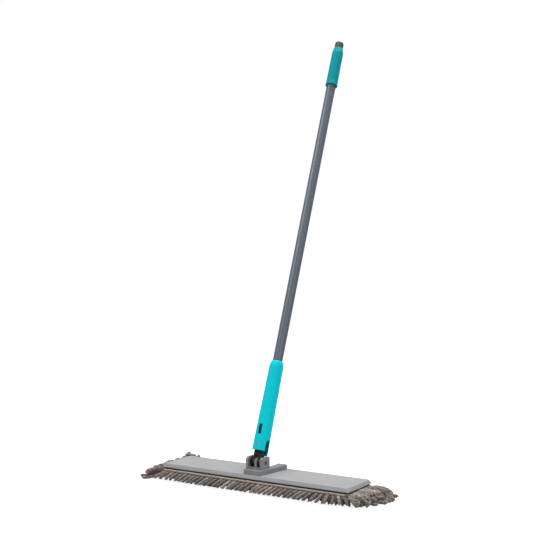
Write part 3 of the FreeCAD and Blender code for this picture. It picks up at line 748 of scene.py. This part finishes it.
def binding():
    """The bound edge: a piped cord with a thinner one below it."""
    low, high = binding_low, binding_high
    cord_radius = 2.6 * MM
    lower_radius = 2.1 * MM
    step = 2.0 * MM
    strands = Strands(ring=12, plies=2)
    outline = rounded_outline(high.x - cord_radius, high.y - cord_radius, PAD_CORNER, step)
    height = high.z - cord_radius * 0.95
    loop = [(x, y, height + 0.15 * MM * math.sin(index * 0.9)) for index, (x, y, _) in enumerate(outline)]
    strands.add(loop + loop[:2], cord_radius, 0.52, turn_length=9 * MM, spacing=step,
                round_ends=(False, False), closed=True)
    lower = [(x * 0.999, y * 0.998, low.z + 1.9 * MM) for x, y, _ in loop]
    strands.add(lower + lower[:2], lower_radius, 0.42, turn_length=14 * MM, spacing=step,
                round_ends=(False, False), closed=True)
    piece = strands.build("bound_edge", CORD)
    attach(piece, "pad")
    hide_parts("pad_binding")


def stitches():
    """A row of slanted stitches along the outer face of the bound edge."""
    rng = random.Random(5)
    low, high = binding_low, binding_high
    proud = 0.1 * MM
    strands = Strands(ring=6, plies=2)
    seam = rounded_outline(high.x + proud, high.y + proud, PAD_CORNER, 3.2 * MM)
    for start, stop in zip(seam[:-1], seam[1:]):
        middle = low.z + 3.3 * MM + rng.uniform(-0.2, 0.2) * MM
        first = start * 0.85 + stop * 0.15
        last = start * 0.15 + stop * 0.85
        places = [
            (first[0] * 0.998, first[1] * 0.985, middle - 0.8 * MM),
            (first[0], first[1], middle - 0.5 * MM),
            (last[0], last[1], middle + 0.5 * MM),
            (last[0] * 0.998, last[1] * 0.985, middle + 0.8 * MM),
        ]
        strands.add(places, 0.35 * MM, 0.5, spacing=0.7 * MM, round_ends=(True, True))
    piece = strands.build("binding_stitches", THREAD)
    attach(piece, "pad")


def tape_width():
    """Width of one strip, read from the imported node: the strips lie each side of the middle."""
    offsets = [abs(vertex.co.y) for vertex in nodes["loop_tapes"].data.vertices]
    return max(offsets) - min(offsets)


def loop_tapes():
    """The soft half of the touch tape: two strips with a napped top."""
    rng = random.Random(3)
    low, high = tapes_low, tapes_high
    width = tape_width()
    under = low.z + 0.05 * MM
    over = high.z - 0.7 * MM
    columns, rows = 200, 14
    points = []
    faces = []
    for front in (low.y, high.y - width):
        faces.extend(slab_faces(columns, rows, len(points)))
        for level in (under, over):
            for row in range(rows + 1):
                for column in range(columns + 1):
                    edge = row in (0, rows) or column in (0, columns)
                    nap = 0 if edge else rng.uniform(0.1, 0.65) * MM
                    x = low.x + (high.x - low.x) * column / columns
                    y = front + width * row / rows
                    points.append((x, y, over + nap if level == over else under))
    mesh = bpy.data.meshes.new("napped_tapes")
    mesh.from_pydata(points, [], faces)
    piece = add_piece("napped_tapes", mesh, LOOP_TAPE)
    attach(piece, "pad")
    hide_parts("loop_tapes")


# ---------------------------------------------------------------- stage, light and camera
def floor():
    size = FLOOR_HALF_SIZE
    mesh = bpy.data.meshes.new("floor")
    corners = [(-size, -size, 0), (size, -size, 0), (size, size, 0), (-size, size, 0)]
    mesh.from_pydata(corners, [], [(0, 1, 2, 3)])
    piece = add_piece("floor", mesh, floor_finish())


def background(node, colour, strength):
    node.inputs["Color"].default_value = colour
    node.inputs["Strength"].default_value = strength
    return node.outputs["Background"]


def surroundings():
    """Soft light from all round, with a paper white backdrop where the camera sees it directly."""
    world = bpy.data.worlds.new("soft_studio")
    world.use_nodes = True
    tree = world.node_tree
    soft = background(tree.nodes["Background"], (0.95, 0.98, 1.0, 1.0), AMBIENT)
    white = background(tree.nodes.new("ShaderNodeBackground"), (1.0, 1.0, 1.0, 1.0), PAPER_WHITE)
    seen_directly = tree.nodes.new("ShaderNodeLightPath").outputs["Is Camera Ray"]
    choose = tree.nodes.new("ShaderNodeMixShader")
    tree.links.new(seen_directly, choose.inputs["Fac"])
    tree.links.new(soft, choose.inputs[1])
    tree.links.new(white, choose.inputs[2])
    tree.links.new(choose.outputs["Shader"], tree.nodes["World Output"].inputs["Surface"])
    bpy.context.scene.world = world


def lights():
    for name, place, aim, size, power in LIGHTS:
        data = bpy.data.lights.new(name, "AREA")
        data.shape = "DISK"
        data.size = size
        data.energy = power
        light = bpy.data.objects.new(name, data)
        light.location = place
        light.rotation_euler = (Vector(aim) - Vector(place)).to_track_quat("-Z", "Y").to_euler()
        bpy.context.scene.collection.objects.link(light)


def camera():
    data = bpy.data.cameras.new("view")
    data.lens = CAMERA_LENS_MM
    data.sensor_width = CAMERA_SENSOR_MM
    data.clip_end = CAMERA_CLIP_END
    eye = bpy.data.objects.new("view", data)
    eye.location = CAMERA_PLACE
    eye.rotation_euler = (math.pi / 2 - math.radians(CAMERA_PITCH_DOWN), 0, math.radians(CAMERA_AZIMUTH))
    bpy.context.scene.collection.objects.link(eye)
    bpy.context.scene.camera = eye


def colour_handling():
    """Plain screen colours, because the default view transform washes out the bright teal."""
    bpy.context.scene.view_settings.view_transform = "Standard"


camera()
floor()
surroundings()
lights()
colour_handling()
dress_nodes()
pile()
backing()
binding()
stitches()
side_fringe("front_fringe", side=-1, seed=21)
side_fringe("back_fringe", side=1, seed=22)
end_fringe("left_fringe", side=-1, seed=23)
end_fringe("right_fringe", side=1, seed=24)
loop_tapes()
